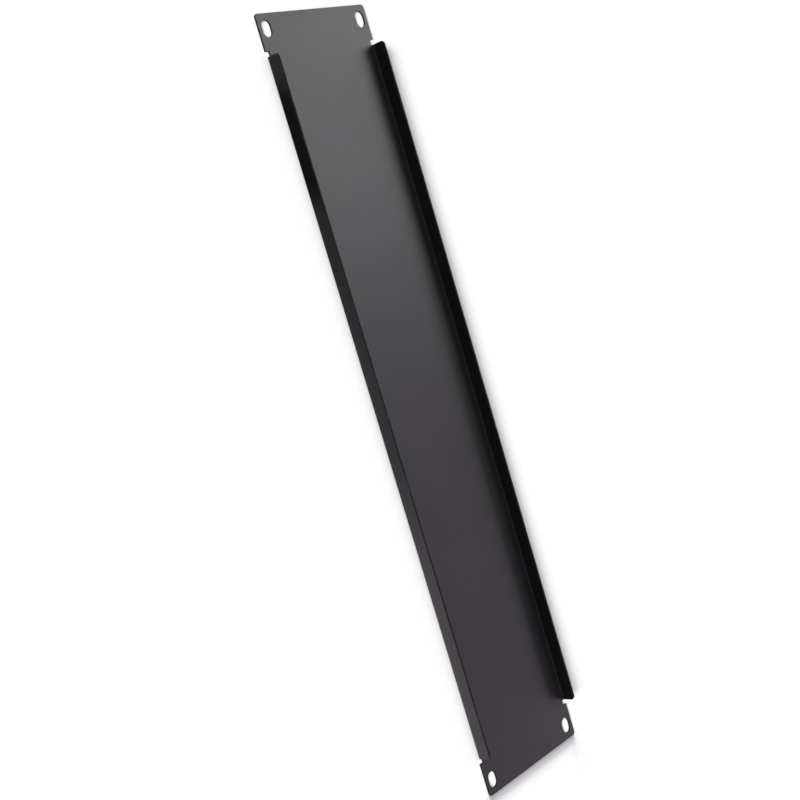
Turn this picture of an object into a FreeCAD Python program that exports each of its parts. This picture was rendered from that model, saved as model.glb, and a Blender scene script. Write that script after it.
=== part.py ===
import FreeCAD, Part
import math
import os
import Sketcher

# Rack blanking panel, 19 inch wide and two units high.
# One sheet of steel: a flat face plate with four slotted ears, and two long edges
# folded up through a bend, each freed from the ears by a relief notch at both ends.
# X runs along the panel, Y across it, and Z is the depth into the rack.
# The front face lies on Z = 0, the middle of the panel is the origin, and the folds point up.

os.makedirs("parts", exist_ok=True)

SIZES = [
    ("slot_pitch_long", 465.1, "slot to slot along the panel, 19 inch rack"),
    ("slot_pitch_high", 76.2, "slot to slot across the panel, two units"),
    ("end_past_slot", 8.75, "slot centre to the end of the ear"),
    ("edge_past_slot", 5.95, "slot centre to the long edge"),
    ("slot_long", 10.0, "end to end"),
    ("slot_high", 7.0, "width of a slot"),
    ("ear_round", 2.0, "outer corners of the ears"),
    ("sheet_thick", 1.2, "steel sheet"),
    ("bend_inner", 1.0, "inside radius of the bend"),
    ("fold_depth", 10.2, "front face to the free edge of a fold"),
    ("fold_from_slot", 16.2, "slot centre to the end of a fold, clears the rack post"),
    ("fold_round", 2.6, "free corners of a fold"),
    ("relief_wide", 3.4, "notch between an ear and the end of a fold"),
    ("relief_past_bend", 0.6, "how far the notch runs in past the bend"),
    ("relief_round", 0.4, "punched corners of the notch"),
]

HALF_LENGTH = "sizes.slot_pitch_long / 2 + sizes.end_past_slot"
HALF_HEIGHT = "sizes.slot_pitch_high / 2 + sizes.edge_past_slot"
BEND_OUTER = "sizes.bend_inner + sizes.sheet_thick"
BEND_LINE = HALF_HEIGHT + " - sizes.bend_inner - sizes.sheet_thick"
RELIEF_FLOOR = BEND_LINE + " - sizes.relief_past_bend"
FOLD_END = "sizes.slot_pitch_long / 2 - sizes.fold_from_slot"
EAR_INNER = FOLD_END + " + sizes.relief_wide"


def make_sheet(doc):
    sheet = doc.addObject("Spreadsheet::Sheet", "sizes")
    for row, (alias, value, note) in enumerate(SIZES, start=1):
        sheet.set("A%d" % row, alias.replace("_", " "))
        sheet.set("B%d" % row, str(value))
        sheet.set("C%d" % row, note)
        sheet.setAlias("B%d" % row, alias)
    doc.recompute()
    return sheet


def origin_feature(body, role):
    for feature in body.Origin.OriginFeatures:
        if feature.Role == role:
            return feature
    raise ValueError("no origin feature " + role)


def new_sketch(body, name, role):
    sketch = body.newObject("Sketcher::SketchObject", name)
    sketch.AttachmentSupport = (origin_feature(body, role), [""])
    sketch.MapMode = "FlatFace"
    return sketch


def size_of(sketch, rule):
    return float(sketch.evalExpression(rule))


def line(sketch, start, end):
    first = FreeCAD.Vector(*start)
    last = FreeCAD.Vector(*end)
    return sketch.addGeometry(Part.LineSegment(first, last), False)


def arc(sketch, centre, radius, start_quarter, end_quarter):
    """Arc that runs anticlockwise between two of the four quarter points."""
    circle = Part.Circle(FreeCAD.Vector(*centre), FreeCAD.Vector(0, 0, 1), radius)
    start = start_quarter * math.pi / 2
    end = end_quarter * math.pi / 2
    return sketch.addGeometry(Part.ArcOfCircle(circle, start, end), False)


def limit(sketch, kind, *places):
    sketch.addConstraint(Sketcher.Constraint(kind, *places))


def chain(sketch, kind, pairs):
    """Ties the end of each first piece to the start of each second piece."""
    for first, second in pairs:
        limit(sketch, kind, first, 2, second, 1)


def hold(sketch, name, rule, kind, *places):
    """Names one size of a sketch and binds it to the spreadsheet."""
    constraint = Sketcher.Constraint(kind, *places, size_of(sketch, rule))
    index = sketch.addConstraint(constraint)
    sketch.renameConstraint(index, name)
    sketch.setExpression("Constraints." + name, rule)


def add_plate(body):
    """The flat sheet with its four rounded ear corners."""
    sketch = new_sketch(body, "plate_outline", "XY_Plane")
    x = size_of(sketch, HALF_LENGTH)
    y = size_of(sketch, HALF_HEIGHT)
    r = size_of(sketch, "sizes.ear_round")
    low = line(sketch, (-x + r, -y), (x - r, -y))
    right = line(sketch, (x, -y + r), (x, y - r))
    high = line(sketch, (x - r, y), (-x + r, y))
    left = line(sketch, (-x, y - r), (-x, -y + r))
    low_right = arc(sketch, (x - r, -y + r), r, 3, 4)
    high_right = arc(sketch, (x - r, y - r), r, 0, 1)
    high_left = arc(sketch, (-x + r, y - r), r, 1, 2)
    low_left = arc(sketch, (-x + r, -y + r), r, 2, 3)
    loop = [low, low_right, right, high_right, high, high_left, left, low_left]
    chain(sketch, "Tangent", zip(loop, loop[1:] + loop[:1]))
    for corner in (high_right, high_left, low_left):
        limit(sketch, "Equal", low_right, corner)
    limit(sketch, "Horizontal", high)
    limit(sketch, "Vertical", left)
    limit(sketch, "Symmetric", low, 1, low, 2, -2)
    limit(sketch, "Symmetric", right, 1, right, 2, -1)
    hold(sketch, "ear_round", "sizes.ear_round", "Radius", low_right)
    hold(sketch, "half_length", HALF_LENGTH, "DistanceX", -1, 1, right, 1)
    hold(sketch, "half_height", HALF_HEIGHT, "DistanceY", -1, 1, high, 1)
    pad = body.newObject("PartDesign::Pad", "plate")
    pad.Profile = sketch
    pad.setExpression("Length", "sizes.sheet_thick")
    return pad


def add_relief(body):
    """Takes one long edge back to its bend line, and deeper in the notch at each end."""
    sketch = new_sketch(body, "relief_outline", "XY_Plane")
    edge = size_of(sketch, HALF_HEIGHT)
    bend = size_of(sketch, BEND_LINE)
    floor = size_of(sketch, RELIEF_FLOOR)
    fold = size_of(sketch, FOLD_END)
    ear = size_of(sketch, EAR_INNER)
    r = size_of(sketch, "sizes.relief_round")
    ear_left = line(sketch, (-ear, edge), (-ear, floor + r))
    corner_a = arc(sketch, (-ear + r, floor + r), r, 2, 3)
    floor_left = line(sketch, (-ear + r, floor), (-fold - r, floor))
    corner_b = arc(sketch, (-fold - r, floor + r), r, 3, 4)
    fold_left = line(sketch, (-fold, floor + r), (-fold, bend))
    bend_line = line(sketch, (-fold, bend), (fold, bend))
    fold_right = line(sketch, (fold, bend), (fold, floor + r))
    corner_c = arc(sketch, (fold + r, floor + r), r, 2, 3)
    floor_right = line(sketch, (fold + r, floor), (ear - r, floor))
    corner_d = arc(sketch, (ear - r, floor + r), r, 3, 4)
    ear_right = line(sketch, (ear, floor + r), (ear, edge))
    outside = line(sketch, (ear, edge), (-ear, edge))
    notch_left = [ear_left, corner_a, floor_left, corner_b, fold_left]
    notch_right = [fold_right, corner_c, floor_right, corner_d, ear_right]
    for notch in (notch_left, notch_right):
        chain(sketch, "Tangent", zip(notch, notch[1:]))
    chain(sketch, "Coincident", [
        (fold_left, bend_line), (bend_line, fold_right), (ear_right, outside), (outside, ear_left)])
    for side in (ear_left, fold_left, fold_right, ear_right):
        limit(sketch, "Vertical", side)
    for side in (floor_left, floor_right):
        limit(sketch, "Horizontal", side)
    for corner in (corner_b, corner_c, corner_d):
        limit(sketch, "Equal", corner_a, corner)
    limit(sketch, "Symmetric", outside, 1, outside, 2, -2)
    limit(sketch, "Symmetric", bend_line, 1, bend_line, 2, -2)
    limit(sketch, "Horizontal", floor_left, 2, floor_right, 1)
    hold(sketch, "relief_round", "sizes.relief_round", "Radius", corner_a)
    hold(sketch, "edge", HALF_HEIGHT, "DistanceY", -1, 1, outside, 1)
    hold(sketch, "bend_line", BEND_LINE, "DistanceY", -1, 1, bend_line, 2)
    hold(sketch, "relief_floor", RELIEF_FLOOR, "DistanceY", -1, 1, floor_right, 2)
    hold(sketch, "fold_end", FOLD_END, "DistanceX", -1, 1, bend_line, 2)
    hold(sketch, "ear_inner", EAR_INNER, "DistanceX", -1, 1, outside, 1)
    pocket = body.newObject("PartDesign::Pocket", "relief")
    pocket.Profile = sketch
    pocket.Type = "ThroughAll"
    pocket.Reversed = True
    return pocket


def add_fold(body):
    """Bend and upright of one long edge, drawn as a section and run along the panel."""
    sketch = new_sketch(body, "fold_section", "YZ_Plane")
    edge = size_of(sketch, HALF_HEIGHT)
    bend = size_of(sketch, BEND_LINE)
    outer = size_of(sketch, BEND_OUTER)
    inner = size_of(sketch, "sizes.bend_inner")
    sheet = size_of(sketch, "sizes.sheet_thick")
    top = size_of(sketch, "sizes.fold_depth")
    outer_bend = arc(sketch, (bend, outer), outer, 3, 4)
    outer_side = line(sketch, (edge, outer), (edge, top))
    free_edge = line(sketch, (edge, top), (edge - sheet, top))
    inner_side = line(sketch, (edge - sheet, top), (edge - sheet, outer))
    inner_bend = arc(sketch, (bend, outer), inner, 3, 4)
    root = line(sketch, (bend, sheet), (bend, 0))
    limit(sketch, "Tangent", outer_bend, 2, outer_side, 1)
    limit(sketch, "Tangent", inner_side, 2, inner_bend, 2)
    chain(sketch, "Coincident", [
        (outer_side, free_edge), (free_edge, inner_side), (root, outer_bend)])
    limit(sketch, "Coincident", inner_bend, 1, root, 1)
    limit(sketch, "Coincident", outer_bend, 3, inner_bend, 3)
    limit(sketch, "Vertical", outer_side)
    limit(sketch, "Vertical", inner_side)
    limit(sketch, "Horizontal", free_edge)
    limit(sketch, "Vertical", root)
    limit(sketch, "Vertical", root, 2, outer_bend, 3)
    limit(sketch, "PointOnObject", root, 2, -1)
    hold(sketch, "bend_inner", "sizes.bend_inner", "Radius", inner_bend)
    hold(sketch, "bend_outer", BEND_OUTER, "Radius", outer_bend)
    hold(sketch, "edge", HALF_HEIGHT, "DistanceX", -1, 1, outer_side, 2)
    hold(sketch, "fold_depth", "sizes.fold_depth", "DistanceY", -1, 1, outer_side, 2)
    pad = body.newObject("PartDesign::Pad", "fold")
    pad.Profile = sketch
    pad.SideType = "Symmetric"
    pad.setExpression("Length", "2 * (" + FOLD_END + ")")
    return pad


def add_fold_corners(body):
    """Rounds both free corners of the fold."""
    sketch = new_sketch(body, "fold_corner_outline", "XZ_Plane")
    x = size_of(sketch, FOLD_END)
    top = size_of(sketch, "sizes.fold_depth")
    r = size_of(sketch, "sizes.fold_round")
    right_rise = line(sketch, (x, top - r), (x, top))
    right_top = line(sketch, (x, top), (x - r, top))
    right_arc = arc(sketch, (x - r, top - r), r, 0, 1)
    left_top = line(sketch, (-x + r, top), (-x, top))
    left_rise = line(sketch, (-x, top), (-x, top - r))
    left_arc = arc(sketch, (-x + r, top - r), r, 1, 2)
    chain(sketch, "Coincident", [(right_rise, right_top), (left_top, left_rise)])
    limit(sketch, "Tangent", right_arc, 1, right_rise, 1)
    limit(sketch, "Tangent", right_arc, 2, right_top, 2)
    limit(sketch, "Tangent", left_arc, 1, left_top, 1)
    limit(sketch, "Tangent", left_arc, 2, left_rise, 2)
    for side in (right_rise, left_rise):
        limit(sketch, "Vertical", side)
    for side in (right_top, left_top):
        limit(sketch, "Horizontal", side)
    limit(sketch, "Equal", right_arc, left_arc)
    limit(sketch, "Symmetric", right_rise, 2, left_rise, 1, -2)
    hold(sketch, "fold_round", "sizes.fold_round", "Radius", right_arc)
    hold(sketch, "fold_end", FOLD_END, "DistanceX", -1, 1, right_rise, 2)
    hold(sketch, "fold_depth", "sizes.fold_depth", "DistanceY", -1, 1, right_rise, 2)
    pocket = body.newObject("PartDesign::Pocket", "fold_corners")
    pocket.Profile = sketch
    pocket.Type = "ThroughAll"
    return pocket


def add_second_edge(body, originals):
    """Repeats the notches and the fold on the other long edge."""
    mirrored = body.newObject("PartDesign::Mirrored", "second_edge")
    mirrored.Originals = originals
    mirrored.MirrorPlane = (origin_feature(body, "XZ_Plane"), [""])
    body.Tip = mirrored
    return mirrored


def add_slot(body):
    """The first rack slot, in the ear corner at low X and low Y."""
    sketch = new_sketch(body, "slot_outline", "XY_Plane")
    x = -size_of(sketch, "sizes.slot_pitch_long / 2")
    y = -size_of(sketch, "sizes.slot_pitch_high / 2")
    r = size_of(sketch, "sizes.slot_high / 2")
    half = size_of(sketch, "(sizes.slot_long - sizes.slot_high) / 2")
    low = line(sketch, (x - half, y - r), (x + half, y - r))
    right = arc(sketch, (x + half, y), r, 3, 5)
    high = line(sketch, (x + half, y + r), (x - half, y + r))
    left = arc(sketch, (x - half, y), r, 1, 3)
    centre = sketch.addGeometry(Part.Point(FreeCAD.Vector(x, y)), True)
    loop = [low, right, high, left]
    chain(sketch, "Tangent", zip(loop, loop[1:] + loop[:1]))
    limit(sketch, "Equal", left, right)
    limit(sketch, "Horizontal", low)
    limit(sketch, "Symmetric", left, 3, right, 3, centre, 1)
    hold(sketch, "slot_end", "sizes.slot_high / 2", "Radius", left)
    hold(sketch, "slot_run", "sizes.slot_long - sizes.slot_high", "DistanceX", low, 1, low, 2)
    hold(sketch, "along", "sizes.slot_pitch_long / 2", "DistanceX", centre, 1, -1, 1)
    hold(sketch, "across", "sizes.slot_pitch_high / 2", "DistanceY", centre, 1, -1, 1)
    pocket = body.newObject("PartDesign::Pocket", "slot")
    pocket.Profile = sketch
    pocket.Type = "ThroughAll"
    pocket.Reversed = True
    return pocket


def add_slot_pattern(body, slot):
    """Four slots at the rack spacing, two by two."""
    pattern = body.newObject("PartDesign::LinearPattern", "slots")
    pattern.Originals = [slot]
    pattern.Direction = (origin_feature(body, "X_Axis"), [""])
    pattern.Direction2 = (origin_feature(body, "Y_Axis"), [""])
    pattern.Occurrences = 2
    pattern.Occurrences2 = 2
    pattern.setExpression("Length", "sizes.slot_pitch_long")
    pattern.setExpression("Length2", "sizes.slot_pitch_high")
    body.Tip = pattern
    return pattern


def settle(doc, feature, before, adds_metal):
    """Recomputes, and makes sure that the feature really added or removed metal."""
    doc.recompute()
    change = feature.Shape.Volume - before
    if (change > 0) != adds_metal or abs(change) < 0.01:
        raise ValueError("%s changed the volume by %.3f" % (feature.Name, change))
    return feature.Shape.Volume


def build_panel(doc):
    body = doc.addObject("PartDesign::Body", "panel")
    body.Label = "panel"
    volume = settle(doc, add_plate(body), 0, True)
    relief = add_relief(body)
    volume = settle(doc, relief, volume, False)
    fold = add_fold(body)
    volume = settle(doc, fold, volume, True)
    corners = add_fold_corners(body)
    volume = settle(doc, corners, volume, False)
    volume = settle(doc, add_second_edge(body, [relief, fold, corners]), volume, True)
    slot = add_slot(body)
    volume = settle(doc, slot, volume, False)
    settle(doc, add_slot_pattern(body, slot), volume, False)
    body.Placement = FreeCAD.Placement()
    return body


def check(doc, bodies):
    for item in doc.Objects:
        if "Invalid" in item.State or "Error" in item.State:
            raise ValueError("%s is %s" % (item.Name, item.State))
    for body in bodies:
        shape = body.Shape
        if shape.isNull() or not shape.isValid() or len(shape.Solids) != 1:
            raise ValueError(body.Label + " is not one sound solid")


doc = FreeCAD.newDocument("rack_blanking_panel")
make_sheet(doc)
bodies = [build_panel(doc)]
doc.recompute()
check(doc, bodies)
for body in bodies:
    body.Shape.exportStep("parts/%s.step" % body.Label)
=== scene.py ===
import math

import bmesh
import bpy
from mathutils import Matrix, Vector


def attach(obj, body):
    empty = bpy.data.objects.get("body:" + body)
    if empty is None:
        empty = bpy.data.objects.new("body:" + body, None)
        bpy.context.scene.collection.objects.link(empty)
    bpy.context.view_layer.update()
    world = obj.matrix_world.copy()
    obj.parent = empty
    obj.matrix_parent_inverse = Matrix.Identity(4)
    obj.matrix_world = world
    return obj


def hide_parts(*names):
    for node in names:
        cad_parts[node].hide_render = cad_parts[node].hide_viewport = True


# A rack blanking panel: one sheet of steel with both long edges folded up, in satin black
# powder coat, lying on its front face. Metres, +Z up, +X along the panel.

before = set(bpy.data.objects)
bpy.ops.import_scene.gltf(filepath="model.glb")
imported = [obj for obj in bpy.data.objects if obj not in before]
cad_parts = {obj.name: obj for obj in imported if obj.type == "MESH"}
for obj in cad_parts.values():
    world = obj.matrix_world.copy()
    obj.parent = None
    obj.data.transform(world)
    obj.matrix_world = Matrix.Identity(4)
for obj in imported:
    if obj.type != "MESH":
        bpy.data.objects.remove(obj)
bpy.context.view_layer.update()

# ---------------------------------------------------------------- sizes of the sheet
LENGTH = 0.4826
HEIGHT = 0.0881
SHEET = 0.0012
BEND_INNER = 0.0010
FOLD_DEPTH = 0.0102
FOLD_LENGTH = 0.4327
FOLD_ROUND = 0.0026
EAR_ROUND = 0.0020
RELIEF_WIDE = 0.0034
RELIEF_PAST_BEND = 0.0006
RELIEF_ROUND = 0.0004
SLOT_PITCH_LONG = 0.4651
SLOT_PITCH_HIGH = 0.0762
SLOT_LONG = 0.0100
SLOT_HIGH = 0.0070

# How many steps draw a bend, a free corner of a fold, a corner of the flat blank and a corner
# of a slot.
BEND_STEPS = 14
FOLD_CORNER_STEPS = 10
BLANK_CORNER_STEPS = 8
SLOT_CORNER_STEPS = 12
# A slot's corners are rounded by a hair under half its width, so that two fit side by side.
SLOT_ROUND_SHARE = 0.49999
# Points this close are one point, and a point this far past the bend line is in the fold.
WELD_DISTANCE = 0.00002
LEAST_PAST_BEND = 0.00001
# The fold takes in points up to this far past its ends, well short of the ears.
FOLD_END_MARGIN = 0.0005
LAST_WELD = 1e-6
FLAT_WITHIN_DEGREES = 0.2

# The softened arris: its width, its steps, and how sharp an edge has to be to get one.
EDGE_SOFTNESS = 0.00022
EDGE_STEPS = 3
SHARP_FROM_DEGREES = 50

# ---------------------------------------------------------------- finish
# Where the rub reaches full strength, past the noise level at which it starts.
RUB_FADE = 0.08
# How much slow drift and fine specks each add to the coat's unevenness in gloss.
DRIFT_IN_GLOSS = 0.6
SPECK_IN_GLOSS = 0.4

# ---------------------------------------------------------------- table and light
FLOOR_SIZE = 14.0
TABLE_DROP = 0.0001
TABLE_WHITE = 0.9
# The table's two boards meet here, under the sheet, between its last slots and its end.
BOARD_JOINT = 0.2405
# Painted light: how bright the table glows to gloss and bounced light, set by its place along X and dark
# over one stretch, which the panel shows as a painted reflection: (place along X, level).
TABLE_PAINTED_GLOW = [(-0.23, 0.42), (-0.207, 0.34), (-0.190, 0.05), (-0.142, 0.05), (-0.120, 0.32),
                  (0.0, 0.54), (0.12, 1.05)]
# The ramp that holds these levels is a metre long, with the panel's middle halfway.
RAMP_MIDDLE = 0.5
ROOM_LEVEL = 0.16
ROOM_TINT = (1.0, 0.905, 1.01)
BOX_TINT = (0.98, 1.01, 1.015)
# The tint of the table's painted glow.
PAINTED_GLOW_TINT = (0.99, 0.905, 1.0)

# ---------------------------------------------------------------- camera
CAMERA_PLACE = (-0.0765, -0.56343, 0.56802)
CAMERA_TURN_DEGREES = (8.631, -42.891, 67.076)
CAMERA_LENS = 59.091
CAMERA_SENSOR = 36.0
CAMERA_SHIFT = 0.06
CAMERA_NEAR = 0.01
CAMERA_FAR = 50.0


# ---------------------------------------------------------------- node helpers
def add_node(tree, kind, inputs=None, **settings):
    """A new node. An input is a plain value or the socket that feeds it."""
    made = tree.nodes.new(kind)
    for name, value in settings.items():
        setattr(made, name, value)
    for key, value in (inputs or {}).items():
        give(tree, value, made.inputs[key])
    return made


def give(tree, value, target):
    if isinstance(value, bpy.types.NodeSocket):
        tree.links.new(value, target)
    else:
        target.default_value = value


def calc(tree, operation, *values):
    inputs = dict(enumerate(values))
    return add_node(tree, "ShaderNodeMath", inputs, operation=operation).outputs[0]


def pick(tree, test, when_false, when_true):
    inputs = {"Switch": test, "False": when_false, "True": when_true}
    return add_node(tree, "GeometryNodeSwitch", inputs, input_type="FLOAT").outputs[0]


def at_most(tree, value, limit):
    inputs = {"A": value, "B": limit}
    return add_node(tree, "FunctionNodeCompare", inputs, operation="LESS_EQUAL").outputs[0]


def vector(tree, x=0.0, y=0.0, z=0.0):
    return add_node(tree, "ShaderNodeCombineXYZ", {0: x, 1: y, 2: z}).outputs[0]


def split(tree, value):
    return add_node(tree, "ShaderNodeSeparateXYZ", {0: value}).outputs


def point_place(tree):
    return split(tree, add_node(tree, "GeometryNodeInputPosition").outputs[0])


def joined(tree, *geometries):
    join = add_node(tree, "GeometryNodeJoinGeometry")
    for geometry in geometries:
        tree.links.new(geometry, join.inputs[0])
    return join.outputs[0]


def welded(tree, geometry):
    inputs = {"Geometry": geometry, "Distance": WELD_DISTANCE}
    return add_node(tree, "GeometryNodeMergeByDistance", inputs).outputs[0]


def rounded_curve(tree, curve, radius, steps):
    inputs = {"Curve": curve, "Radius": radius, "Limit Radius": True, "Count": steps}
    return add_node(tree, "GeometryNodeFilletCurve", inputs, mode="POLY").outputs[0]


# ---------------------------------------------------------------- the folded sheet
SHEET_INPUTS = [
    ("Length", LENGTH),
    ("Height", HEIGHT),
    ("Thickness", SHEET),
    ("Bend inside radius", BEND_INNER),
    ("Fold depth", FOLD_DEPTH),
    ("Fold length", FOLD_LENGTH),
    ("Fold corner radius", FOLD_ROUND),
    ("Ear corner radius", EAR_ROUND),
    ("Relief width", RELIEF_WIDE),
    ("Relief past bend", RELIEF_PAST_BEND),
    ("Relief corner radius", RELIEF_ROUND),
    ("Slot spacing along", SLOT_PITCH_LONG),
    ("Slot spacing across", SLOT_PITCH_HIGH),
    ("Slot length", SLOT_LONG),
    ("Slot width", SLOT_HIGH),
]


def chosen(tree, index, values):
    """The value with this number in the list."""
    switch = add_node(tree, "GeometryNodeIndexSwitch", {"Index": index}, data_type="FLOAT")
    while len(switch.index_switch_items) < len(values):
        switch.index_switch_items.new()
    for number, value in enumerate(values):
        give(tree, value, switch.inputs[number + 1])
    return switch.outputs[0]


def quarter_outline(tree, corners):
    """A closed outline and the radius at each of its points, mirrored out of one quarter.

    Each corner is x, y and radius. The outline runs through four quarters, 0 to 3: high X and
    high Y, low X and high Y, low X and low Y, high X and low Y. The odd ones take the corners
    backwards.
    """
    count = len(corners)
    ring = add_node(tree, "GeometryNodeCurvePrimitiveCircle", {"Resolution": 4 * count, "Radius": 1.0})
    index = add_node(tree, "GeometryNodeInputIndex").outputs[0]
    quarter = calc(tree, "FLOOR", calc(tree, "DIVIDE", calc(tree, "ADD", index, 0.5), count))
    onward = calc(tree, "SUBTRACT", index, calc(tree, "MULTIPLY", quarter, count))
    backward = calc(tree, "SUBTRACT", count - 1.0, onward)
    is_odd = calc(tree, "COMPARE", calc(tree, "MODULO", quarter, 2.0), 1.0, 0.1)
    is_even = calc(tree, "SUBTRACT", 1.0, is_odd)
    corner = calc(tree, "ROUND", calc(tree, "ADD", calc(tree, "MULTIPLY", backward, is_odd),
                                      calc(tree, "MULTIPLY", onward, is_even)))
    x = chosen(tree, corner, [each[0] for each in corners])
    y = chosen(tree, corner, [each[1] for each in corners])
    radius = chosen(tree, corner, [each[2] for each in corners])
    # Quarters 1 and 2 lie at low X, and quarters 2 and 3 at low Y.
    low_x = calc(tree, "COMPARE", quarter, 1.5, 0.6)
    low_y = calc(tree, "GREATER_THAN", quarter, 1.5)
    x_sign = calc(tree, "SUBTRACT", 1.0, calc(tree, "MULTIPLY", low_x, 2.0))
    y_sign = calc(tree, "SUBTRACT", 1.0, calc(tree, "MULTIPLY", low_y, 2.0))
    place = vector(tree, calc(tree, "MULTIPLY", x, x_sign), calc(tree, "MULTIPLY", y, y_sign))
    stored = add_node(tree, "GeometryNodeStoreNamedAttribute",
                      {"Geometry": ring.outputs[0], "Name": "corner_radius", "Value": radius},
                      data_type="FLOAT", domain="POINT")
    placed = add_node(tree, "GeometryNodeSetPosition",
                      {"Geometry": stored.outputs[0], "Position": place})
    kept_radius = add_node(tree, "GeometryNodeInputNamedAttribute", {"Name": "corner_radius"},
                           data_type="FLOAT")
    return placed.outputs[0], kept_radius.outputs[0]


def sheet_lines(tree, size):
    """The sizes that follow from the named ones."""
    half_high = calc(tree, "MULTIPLY", size["Height"], 0.5)
    bend_outer = calc(tree, "ADD", size["Bend inside radius"], size["Thickness"])
    bend_line = calc(tree, "SUBTRACT", half_high, bend_outer)
    fold_end = calc(tree, "MULTIPLY", size["Fold length"], 0.5)
    middle_radius = calc(tree, "ADD", size["Bend inside radius"],
                         calc(tree, "MULTIPLY", size["Thickness"], 0.5))
    bend_run = calc(tree, "MULTIPLY", middle_radius, math.pi / 2)
    return {
        "half long": calc(tree, "MULTIPLY", size["Length"], 0.5),
        "half high": half_high,
        "bend outer": bend_outer,
        "bend line": bend_line,
        "relief floor": calc(tree, "SUBTRACT", bend_line, size["Relief past bend"]),
        "fold end": fold_end,
        "ear inner": calc(tree, "ADD", fold_end, size["Relief width"]),
        "bend run": bend_run,
        "flat run": calc(tree, "ADD", bend_run, calc(tree, "SUBTRACT", size["Fold depth"], bend_outer)),
    }


def blank_face(tree, size, line):
    """The face plate with its ears, relief notches and slots, up to the bend lines."""
    outline, radius = quarter_outline(tree, [
        (line["half long"], line["half high"], size["Ear corner radius"]),
        (line["ear inner"], line["half high"], 0.0),
        (line["ear inner"], line["relief floor"], size["Relief corner radius"]),
        (line["fold end"], line["relief floor"], size["Relief corner radius"]),
        (line["fold end"], line["bend line"], 0.0),
    ])
    outline = rounded_curve(tree, outline, radius, BLANK_CORNER_STEPS)
    slot_box = add_node(tree, "GeometryNodeCurvePrimitiveQuadrilateral",
                        {"Width": size["Slot length"], "Height": size["Slot width"]})
    slot_radius = calc(tree, "MULTIPLY", size["Slot width"], SLOT_ROUND_SHARE)
    slot = rounded_curve(tree, slot_box.outputs[0], slot_radius, SLOT_CORNER_STEPS)
    slot_points = add_node(tree, "GeometryNodeMeshGrid", {
        "Size X": size["Slot spacing along"], "Size Y": size["Slot spacing across"],
        "Vertices X": 2, "Vertices Y": 2})
    slots = add_node(tree, "GeometryNodeInstanceOnPoints",
                     {"Points": slot_points.outputs[0], "Instance": slot})
    slots_real = add_node(tree, "GeometryNodeRealizeInstances", {"Geometry": slots.outputs[0]})
    cut_lines = joined(tree, outline, slots_real.outputs[0])
    return add_node(tree, "GeometryNodeFillCurve", {"Curve": cut_lines}).outputs[0]


def fold_strip(tree, size, line):
    """The flat strip that one fold is made of, in rows across it.

    Row 0 is the bend line. The bend ends at row BEND_STEPS, and the rows after it go round the
    two free corners.
    """
    rows = BEND_STEPS + FOLD_CORNER_STEPS + 2
    grid = add_node(tree, "GeometryNodeMeshGrid", {
        "Size X": 2.0, "Size Y": rows - 1.0, "Vertices X": 2, "Vertices Y": rows})
    spot = point_place(tree)
    row = calc(tree, "ROUND", calc(tree, "ADD", spot[1], (rows - 1) / 2))
    in_bend = calc(tree, "MULTIPLY", line["bend run"], calc(tree, "DIVIDE", row, float(BEND_STEPS)))
    corner_radius = size["Fold corner radius"]
    turn = calc(tree, "MULTIPLY", calc(tree, "SUBTRACT", row, BEND_STEPS + 1.0),
                math.pi / 2 / FOLD_CORNER_STEPS)
    in_corner = calc(tree, "ADD", calc(tree, "SUBTRACT", line["flat run"], corner_radius),
                     calc(tree, "MULTIPLY", corner_radius, calc(tree, "SINE", turn)))
    inset = calc(tree, "MULTIPLY", corner_radius,
                 calc(tree, "SUBTRACT", 1.0, calc(tree, "COSINE", turn)))
    before_corner = at_most(tree, row, BEND_STEPS + 0.5)
    reach = pick(tree, before_corner, in_corner, in_bend)
    drawn_in = pick(tree, before_corner, inset, 0.0)
    x = calc(tree, "MULTIPLY", spot[0], calc(tree, "SUBTRACT", line["fold end"], drawn_in))
    y = calc(tree, "ADD", line["bend line"], reach)
    strip = add_node(tree, "GeometryNodeSetPosition",
                     {"Geometry": grid.outputs[0], "Position": vector(tree, x, y)})
    return strip.outputs[0]


def thickened(tree, size, blank):
    """A closed sheet on the flat blank, whose side walls are marked as cut edges."""
    raised = add_node(tree, "GeometryNodeExtrudeMesh", {
        "Mesh": blank, "Offset": vector(tree, z=1.0), "Offset Scale": size["Thickness"],
        "Individual": False})
    marked = add_node(tree, "GeometryNodeStoreNamedAttribute", {
        "Geometry": raised.outputs["Mesh"], "Name": "cut_edge", "Value": raised.outputs["Side"]},
        data_type="BOOLEAN", domain="FACE")
    underside = add_node(tree, "GeometryNodeFlipFaces", {"Mesh": blank})
    return welded(tree, joined(tree, marked.outputs[0], underside.outputs[0]))


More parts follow.
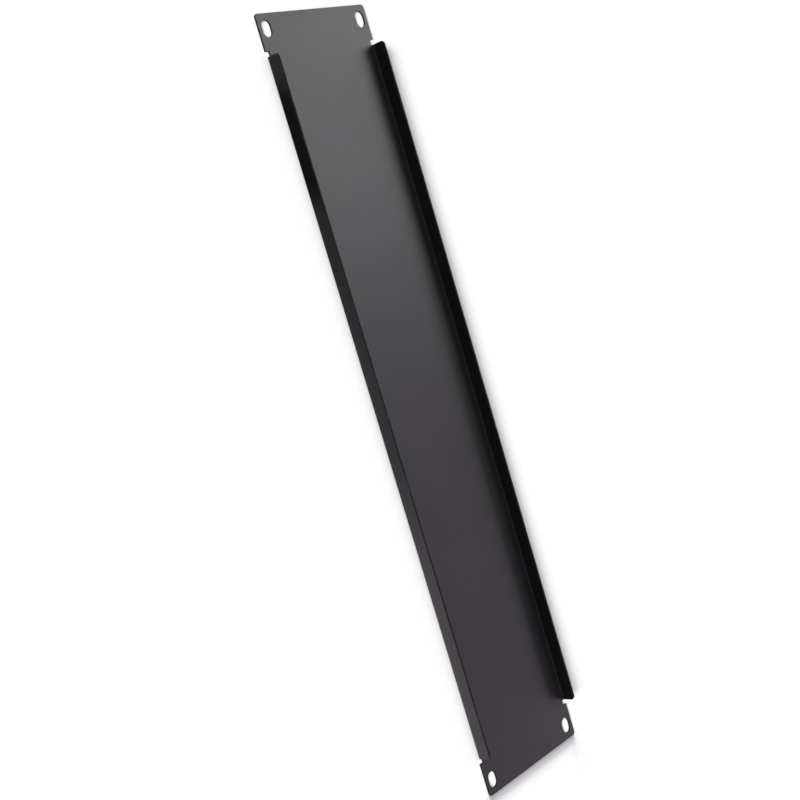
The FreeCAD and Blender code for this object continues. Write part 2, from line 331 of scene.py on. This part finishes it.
def folded_up(tree, line, flat_sheet):
    """Turns all that lies past the bend lines up round the bend."""
    flat = point_place(tree)
    past = calc(tree, "MAXIMUM",
                calc(tree, "SUBTRACT", calc(tree, "ABSOLUTE", flat[1]), line["bend line"]), 0.0)
    share = calc(tree, "MINIMUM", calc(tree, "DIVIDE", past, line["bend run"]), 1.0)
    angle = calc(tree, "MULTIPLY", share, math.pi / 2)
    lift = calc(tree, "MAXIMUM", calc(tree, "SUBTRACT", past, line["bend run"]), 0.0)
    arm = calc(tree, "SUBTRACT", line["bend outer"], flat[2])
    across = calc(tree, "ADD", line["bend line"],
                  calc(tree, "MULTIPLY", arm, calc(tree, "SINE", angle)))
    up = calc(tree, "ADD", lift, calc(tree, "SUBTRACT", line["bend outer"],
                                      calc(tree, "MULTIPLY", arm, calc(tree, "COSINE", angle))))
    fold_reach = calc(tree, "ADD", line["fold end"], FOLD_END_MARGIN)
    is_fold = add_node(tree, "FunctionNodeBooleanMath", {
        0: at_most(tree, calc(tree, "ABSOLUTE", flat[0]), fold_reach),
        1: at_most(tree, LEAST_PAST_BEND, past)}, operation="AND")
    y = calc(tree, "MULTIPLY", calc(tree, "SIGN", flat[1]), across)
    folded = add_node(tree, "GeometryNodeSetPosition", {
        "Geometry": flat_sheet, "Selection": is_fold.outputs[0],
        "Position": vector(tree, flat[0], y, up)})
    return folded.outputs[0]


def folded_sheet_tree(face_finish, cut_finish):
    """Cuts the flat blank, gives it its thickness, and folds both long edges up by rule."""
    tree = bpy.data.node_groups.new("folded_sheet", "GeometryNodeTree")
    tree.is_modifier = True
    for name, value in SHEET_INPUTS:
        item = tree.interface.new_socket(name, in_out="INPUT", socket_type="NodeSocketFloat")
        item.default_value = value
    tree.interface.new_socket("Geometry", in_out="OUTPUT", socket_type="NodeSocketGeometry")
    size = add_node(tree, "NodeGroupInput").outputs

    line = sheet_lines(tree, size)
    face = blank_face(tree, size, line)
    strip = fold_strip(tree, size, line)
    other_strip = add_node(tree, "GeometryNodeTransform",
                           {"Geometry": strip, "Rotation": (0, 0, math.pi)})
    blank = welded(tree, joined(tree, face, strip, other_strip.outputs[0]))
    folded = folded_up(tree, line, thickened(tree, size, blank))

    real = add_node(tree, "GeometryNodeRealizeInstances", {"Geometry": folded})
    coated = add_node(tree, "GeometryNodeSetMaterial",
                      {"Geometry": real.outputs[0], "Material": face_finish})
    is_cut = add_node(tree, "GeometryNodeInputNamedAttribute", {"Name": "cut_edge"},
                      data_type="BOOLEAN")
    trimmed = add_node(tree, "GeometryNodeSetMaterial", {
        "Geometry": coated.outputs[0], "Selection": is_cut.outputs[0], "Material": cut_finish})
    result = add_node(tree, "NodeGroupOutput")
    tree.links.new(trimmed.outputs[0], result.inputs[0])
    return tree


def plain_mesh(obj, name):
    """The evaluated result of an object's modifiers as a new mesh object with none."""
    bpy.context.view_layer.update()
    evaluated = obj.evaluated_get(bpy.context.evaluated_depsgraph_get())
    mesh = bpy.data.meshes.new_from_object(evaluated)
    mesh.name = name
    made = bpy.data.objects.new(name, mesh)
    bpy.context.scene.collection.objects.link(made)
    bpy.data.objects.remove(obj)
    return made


def cleaned(mesh):
    """Welds the mesh, turns its faces outwards and joins those that lie in one plane."""
    work = bmesh.new()
    work.from_mesh(mesh)
    bmesh.ops.remove_doubles(work, verts=work.verts, dist=LAST_WELD)
    bmesh.ops.recalc_face_normals(work, faces=work.faces)
    bmesh.ops.dissolve_limit(work, angle_limit=math.radians(FLAT_WITHIN_DEGREES),
                             verts=work.verts, edges=work.edges)
    work.to_mesh(mesh)
    work.free()


def soften_edges(panel, finish_number):
    bevel = panel.modifiers.new("soft_edges", "BEVEL")
    bevel.width = EDGE_SOFTNESS
    bevel.segments = EDGE_STEPS
    bevel.limit_method = "ANGLE"
    bevel.angle_limit = math.radians(SHARP_FROM_DEGREES)
    bevel.harden_normals = True
    bevel.material = finish_number


def make_panel():
    face_finish = coated_face()
    cut_finish = coated_cut_edge()
    arris_finish = coated_arris()
    start = bpy.data.objects.new("sheet_start", bpy.data.meshes.new("sheet_start"))
    bpy.context.scene.collection.objects.link(start)
    tree = folded_sheet_tree(face_finish, cut_finish)
    start.modifiers.new("folded_sheet", "NODES").node_group = tree
    panel = plain_mesh(start, "coated_panel")
    finishes = panel.data.materials
    # The bare curves bring an empty slot, which comes first.
    finishes.pop(index=0)
    finishes.append(arris_finish)
    cleaned(panel.data)
    soften_edges(panel, len(finishes) - 1)
    for polygon in panel.data.polygons:
        polygon.use_smooth = True
    return panel


# ---------------------------------------------------------------- finishes
def noise(tree, place, per_metre, detail, roughness):
    inputs = {"Vector": place, "Scale": per_metre, "Detail": detail, "Roughness": roughness}
    return add_node(tree, "ShaderNodeTexNoise", inputs).outputs[0]


def coat_texture_group():
    """Fine grain, slow unevenness and rubbed places of a sprayed and baked powder coat."""
    tree = bpy.data.node_groups.new("powder_coat_texture", "ShaderNodeTree")
    wanted = [("Grain per metre", 1250.0), ("Peel per metre", 420.0), ("Drift per metre", 14.0),
              ("Grain share", 0.45), ("Rub per metre", 160.0), ("Rub starts at", 0.54)]
    for name, value in wanted:
        item = tree.interface.new_socket(name, in_out="INPUT", socket_type="NodeSocketFloat")
        item.default_value = value
    for name in ("Relief", "Unevenness", "Speck", "Rubbed"):
        tree.interface.new_socket(name, in_out="OUTPUT", socket_type="NodeSocketFloat")
    given = add_node(tree, "NodeGroupInput").outputs
    place = add_node(tree, "ShaderNodeTexCoord").outputs["Object"]

    grain = noise(tree, place, given["Grain per metre"], detail=2.0, roughness=0.6)
    peel = noise(tree, place, given["Peel per metre"], detail=1.0, roughness=0.4)
    drift = noise(tree, place, given["Drift per metre"], detail=3.0, roughness=0.55)
    rub = noise(tree, place, given["Rub per metre"], detail=3.0, roughness=0.6)
    speck = add_node(tree, "ShaderNodeTexVoronoi",
                     {"Vector": place, "Scale": given["Grain per metre"]}).outputs["Distance"]
    peel_share = calc(tree, "SUBTRACT", 1.0, given["Grain share"])
    relief = calc(tree, "ADD", calc(tree, "MULTIPLY", grain, given["Grain share"]),
                  calc(tree, "MULTIPLY", peel, peel_share))
    rubbed = add_node(tree, "ShaderNodeMapRange", {
        "Value": rub, "From Min": given["Rub starts at"],
        "From Max": calc(tree, "ADD", given["Rub starts at"], RUB_FADE)},
        interpolation_type="SMOOTHSTEP").outputs[0]
    result = add_node(tree, "NodeGroupOutput")
    tree.links.new(relief, result.inputs["Relief"])
    tree.links.new(drift, result.inputs["Unevenness"])
    tree.links.new(speck, result.inputs["Speck"])
    tree.links.new(rubbed, result.inputs["Rubbed"])
    return tree


def mix_colors(tree, amount, low, high):
    """Blends two colours. Either may be a plain colour or a socket."""
    mix = add_node(tree, "ShaderNodeMix", {"Factor": amount}, data_type="RGBA")
    ends = [item for item in mix.inputs if item.type == "RGBA"]
    for end, value in zip(ends, (low, high)):
        give(tree, value, end)
    return [item for item in mix.outputs if item.type == "RGBA"][0]


def coat_material(name, colors, roughness, relief_height, shine=0.5, rubbed_color=None):
    """One finish of the coat. Colours and roughness are each given from low to high."""
    material = bpy.data.materials.new(name)
    material.use_nodes = True
    tree = material.node_tree
    shader = tree.nodes["Principled BSDF"]
    shader.inputs["Specular IOR Level"].default_value = shine
    texture = add_node(tree, "ShaderNodeGroup", node_tree=COAT_TEXTURE).outputs
    color = mix_colors(tree, texture["Unevenness"], *colors)
    if rubbed_color is not None:
        color = mix_colors(tree, texture["Rubbed"], color, rubbed_color)
    tree.links.new(color, shader.inputs["Base Color"])
    blend = calc(tree, "MULTIPLY_ADD", texture["Unevenness"], DRIFT_IN_GLOSS,
                 calc(tree, "MULTIPLY", texture["Speck"], SPECK_IN_GLOSS))
    rough = add_node(tree, "ShaderNodeMapRange",
                     {"Value": blend, "To Min": roughness[0], "To Max": roughness[1]})
    tree.links.new(rough.outputs[0], shader.inputs["Roughness"])
    bump = add_node(tree, "ShaderNodeBump", {
        "Height": texture["Relief"], "Strength": 1.0, "Distance": relief_height})
    tree.links.new(bump.outputs[0], shader.inputs["Normal"])
    return material


def coated_face():
    """The full coat on the faces of the sheet."""
    return coat_material("satin_black_face",
                         colors=[(0.0145, 0.0141, 0.0146, 1), (0.0185, 0.0179, 0.0186, 1)],
                         roughness=(0.28, 0.50), relief_height=0.000036)


def coated_cut_edge():
    """The thinner, duller coat on the cut edges, rubbed in places."""
    return coat_material("satin_black_cut_edge",
                         colors=[(0.0100, 0.0096, 0.0100, 1), (0.0140, 0.0135, 0.0140, 1)],
                         roughness=(0.55, 0.70), relief_height=0.00003, shine=0.05,
                         rubbed_color=(0.0260, 0.0252, 0.0260, 1))


def coated_arris():
    """The coat where it draws thin over an edge, rubbed lighter in places."""
    return coat_material("satin_black_arris",
                         colors=[(0.0135, 0.0130, 0.0136, 1), (0.0180, 0.0174, 0.0181, 1)],
                         roughness=(0.42, 0.56), relief_height=0.000008, shine=0.12,
                         rubbed_color=(0.0900, 0.0880, 0.0900, 1))


def white_table_painted_glow():
    """Plain white to the camera. To every other ray it glows with painted light, as bright as its place
    along X says, and the panel's gloss shows that glow as a painted reflection.
    """
    material = bpy.data.materials.new("white_table_painted_glow")
    material.use_nodes = True
    tree = material.node_tree
    tree.nodes.remove(tree.nodes["Principled BSDF"])
    place = split(tree, add_node(tree, "ShaderNodeTexCoord").outputs["Object"])
    ramp = add_node(tree, "ShaderNodeValToRGB", {0: calc(tree, "ADD", place[0], RAMP_MIDDLE)})
    ramp.color_ramp.interpolation = "EASE"
    stops = ramp.color_ramp.elements
    while len(stops) < len(TABLE_PAINTED_GLOW):
        stops.new(RAMP_MIDDLE)
    for stop, (x, level) in zip(stops, TABLE_PAINTED_GLOW):
        stop.position = x + RAMP_MIDDLE
        stop.color = tuple(level * c for c in PAINTED_GLOW_TINT) + (1,)
    seen = add_node(tree, "ShaderNodeBsdfDiffuse", {"Color": (TABLE_WHITE,) * 3 + (1,)})
    # Painted light: the glow that gloss and bounced light meet in place of a lit table.
    painted_glow = add_node(tree, "ShaderNodeEmission", {"Color": ramp.outputs[0], "Strength": 1.0})
    is_seen = add_node(tree, "ShaderNodeLightPath").outputs["Is Camera Ray"]
    mixed = add_node(tree, "ShaderNodeMixShader", {0: is_seen, 1: painted_glow.outputs[0], 2: seen.outputs[0]})
    tree.links.new(mixed.outputs[0], tree.nodes["Material Output"].inputs["Surface"])
    material.cycles.emission_sampling = "NONE"
    return material


def make_table(name, x_from, x_to, finish):
    """One board of the table. The boards meet edge to edge under the sheet."""
    half = FLOOR_SIZE / 2
    corners = [(x_from, -half), (x_to, -half), (x_to, half), (x_from, half)]
    mesh = bpy.data.meshes.new(name)
    mesh.from_pydata([(x, y, -TABLE_DROP) for x, y in corners], [], [(0, 1, 2, 3)])
    board = bpy.data.objects.new(name, mesh)
    bpy.context.scene.collection.objects.link(board)
    mesh.materials.append(finish)
    return board


# ---------------------------------------------------------------- light and camera
def light_only(lamp, *objects):
    """The lamp lights these objects alone."""
    lit = bpy.data.collections.new("lit_by_" + lamp.name)
    for obj in objects:
        lit.objects.link(obj)
    lamp.light_linking.receiver_collection = lit


def softbox(name, place, target, width, height, radiance, color):
    """A rectangular lamp, given by how bright its face looks."""
    light = bpy.data.lights.new(name, "AREA")
    light.shape = "RECTANGLE"
    light.size = width
    light.size_y = height
    light.energy = radiance * math.pi * width * height
    light.color = color
    lamp = bpy.data.objects.new(name, light)
    lamp.location = place
    lamp.rotation_euler = (Vector(target) - Vector(place)).to_track_quat("-Z", "Y").to_euler()
    bpy.context.scene.collection.objects.link(lamp)
    return lamp


def far_lamp(name, azimuth, elevation, width, table_share):
    """A distant soft lamp. It gives the table this share of white. Its angles are in degrees."""
    light = bpy.data.lights.new(name, "SUN")
    light.angle = math.radians(width)
    rise = math.radians(elevation)
    turn = math.radians(azimuth)
    light.energy = table_share * math.pi / TABLE_WHITE / math.sin(rise)
    lamp = bpy.data.objects.new(name, light)
    source = Vector((math.cos(turn) * math.cos(rise), math.sin(turn) * math.cos(rise), math.sin(rise)))
    lamp.rotation_euler = source.to_track_quat("Z", "Y").to_euler()
    bpy.context.scene.collection.objects.link(lamp)
    return lamp


def set_world():
    """An evenly lit room, white where it is seen."""
    world = bpy.data.worlds.new("studio")
    bpy.context.scene.world = world
    world.use_nodes = True
    tree = world.node_tree
    seen = add_node(tree, "ShaderNodeLightPath").outputs["Is Camera Ray"]
    room = tuple(ROOM_LEVEL * c for c in ROOM_TINT) + (1,)
    color = mix_colors(tree, seen, room, (1, 1, 1, 1))
    tree.links.new(color, tree.nodes["Background"].inputs["Color"])


def light_panel(panel):
    """Softboxes for the panel alone: one behind it, a wall, and one past each end."""
    light_only(softbox("back_softbox", place=(-0.68, 1.60, 1.72), target=(-0.1, 0, 0),
                       width=1.01, height=1.8, radiance=3.5, color=BOX_TINT), panel)
    light_only(softbox("wall_softbox", place=(0.4, 2.3, 0.78), target=(0, 0, 0),
                       width=6.0, height=1.7, radiance=1.55, color=ROOM_TINT), panel)
    light_only(softbox("low_end_softbox", place=(-2.4, -0.3, 1.6), target=(0, 0, 0),
                       width=1.6, height=1.6, radiance=3.2, color=ROOM_TINT), panel)
    light_only(softbox("high_end_softbox", place=(2.4, -0.3, 1.6), target=(0, 0, 0),
                       width=1.6, height=1.6, radiance=3.2, color=ROOM_TINT), panel)


def light_table(table, end_table):
    """Far lamps for the table alone. With the room they add up to white on each board.

    The board past the sheet's high X end has low lamps of its own, which cast the sheet's soft
    shadow there and would shade the slots if they lit the first board.
    """
    light_only(far_lamp("top_lamp", azimuth=0, elevation=90, width=70, table_share=0.28),
               table, end_table)
    light_only(far_lamp("side_lamp", azimuth=262, elevation=32.5, width=22, table_share=0.60), table)
    light_only(far_lamp("low_end_lamp", azimuth=180, elevation=9.5, width=13, table_share=0.40),
               end_table)
    light_only(far_lamp("high_end_lamp", azimuth=180, elevation=22, width=32, table_share=0.22),
               end_table)


def make_camera():
    data = bpy.data.cameras.new("camera")
    data.lens = CAMERA_LENS
    data.sensor_width = CAMERA_SENSOR
    data.shift_y = CAMERA_SHIFT
    data.clip_start = CAMERA_NEAR
    data.clip_end = CAMERA_FAR
    camera = bpy.data.objects.new("camera", data)
    camera.location = CAMERA_PLACE
    camera.rotation_euler = tuple(math.radians(angle) for angle in CAMERA_TURN_DEGREES)
    bpy.context.scene.collection.objects.link(camera)
    bpy.context.scene.camera = camera


# ---------------------------------------------------------------- the scene
COAT_TEXTURE = coat_texture_group()
panel = make_panel()
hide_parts("panel")
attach(panel, "root")

table_finish = white_table_painted_glow()
table = make_table("table_top", -FLOOR_SIZE / 2, BOARD_JOINT, table_finish)
end_table = make_table("table_past_end", BOARD_JOINT, FLOOR_SIZE / 2, table_finish)
set_world()
light_panel(panel)
light_table(table, end_table)
make_camera()

bpy.context.scene.view_settings.view_transform = "Standard"
